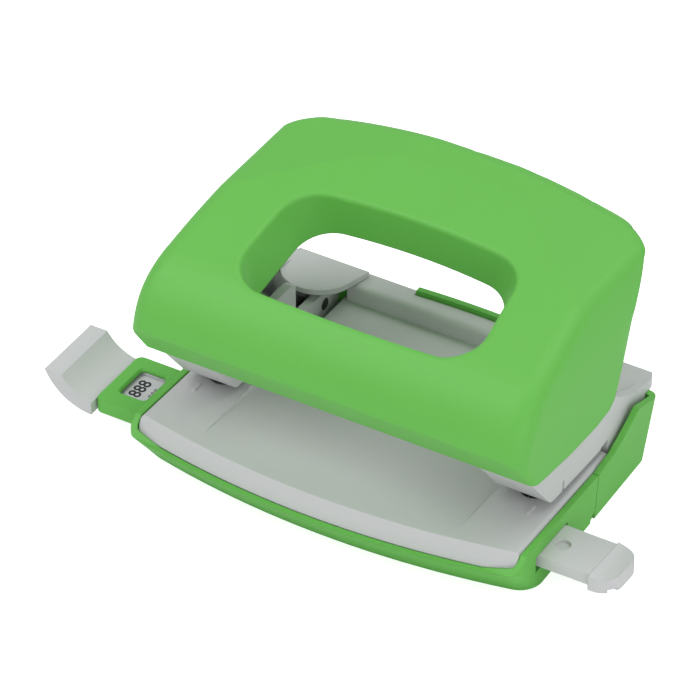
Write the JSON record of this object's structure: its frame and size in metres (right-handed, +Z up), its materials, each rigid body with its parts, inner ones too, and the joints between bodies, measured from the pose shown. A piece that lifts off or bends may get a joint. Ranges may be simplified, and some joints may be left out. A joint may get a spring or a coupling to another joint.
{
  "type": "hole punch",
  "caption": "Small desk hole punch: hinged green handle over grey punch heads, sprung pins, swing-down chip tray and sliding paper guide.",
  "frame": {"origin": "on the flat underside, midway between the two punch pins and on the line that joins them", "axes": "+X to the right along the hinge axis, +Y to the back where the handle is hinged, +Z up"},
  "size_m": [0.1435, 0.0763, 0.0628],
  "materials": {
    "green_plastic": "satin moulded plastic",
    "grey_plastic": "satin moulded plastic",
    "steel": "turned and stamped steel",
    "spring_steel": "drawn spring wire",
    "rubber": "matt rubber"
  },
  "bodies": {
    "frame": {"base_plate": "grey_plastic", "right_punch_frame": "grey_plastic", "left_punch_frame": "grey_plastic", "right_die": "steel", "left_die": "steel", "right_pin_bush": "steel", "left_pin_bush": "steel", "right_hinge_pin": "steel", "left_hinge_pin": "steel", "rear_shell": "green_plastic", "base_screws": "steel", "rear_pads": "rubber"},
    "handle": {"handle_shell": "green_plastic", "right_lever_arm": "steel", "left_lever_arm": "steel", "lever_screws": "steel"},
    "right_pin": {"right_punch_pin": "steel", "right_pin_clip": "steel", "right_pin_spring": "spring_steel"},
    "left_pin": {"left_punch_pin": "steel", "left_pin_clip": "steel", "left_pin_spring": "spring_steel"},
    "chip_tray": {"chip_tray": "green_plastic", "front_pads": "rubber"},
    "guide": {"guide_bar": "grey_plastic", "guide_stop": "grey_plastic", "guide_tab": "grey_plastic"}
  },
  "joints": [
    {"name": "handle_hinge", "type": "hinge", "parent": "frame", "child": "handle", "pos_m": [0, 0.0324, 0.0144], "axis": [1, 0, 0], "range_deg": [0, 13], "stiffness_Nm_per_rad": 0.9, "springref_deg": -16.04},
    {"name": "right_pin_slide", "type": "slide", "parent": "frame", "child": "right_pin", "axis": [0, 0, -1], "range_m": [0, 0.00736], "deforming": ["right_pin_spring"]},
    {"name": "left_pin_slide", "type": "slide", "parent": "frame", "child": "left_pin", "axis": [0, 0, -1], "range_m": [0, 0.00736], "deforming": ["left_pin_spring"]},
    {"name": "tray_hinge", "type": "hinge", "parent": "frame", "child": "chip_tray", "pos_m": [0, 0.0096, 0.0019], "axis": [1, 0, 0], "range_deg": [0, 70]},
    {"name": "guide_slide", "type": "slide", "parent": "chip_tray", "child": "guide", "axis": [-1, 0, 0], "range_m": [0, 0.08]}
  ],
  "couplings": [
    {"joint": "right_pin_slide", "follows": "handle_hinge", "m_per_rad": 0.0324},
    {"joint": "left_pin_slide", "follows": "handle_hinge", "m_per_rad": 0.0324}
  ]
}
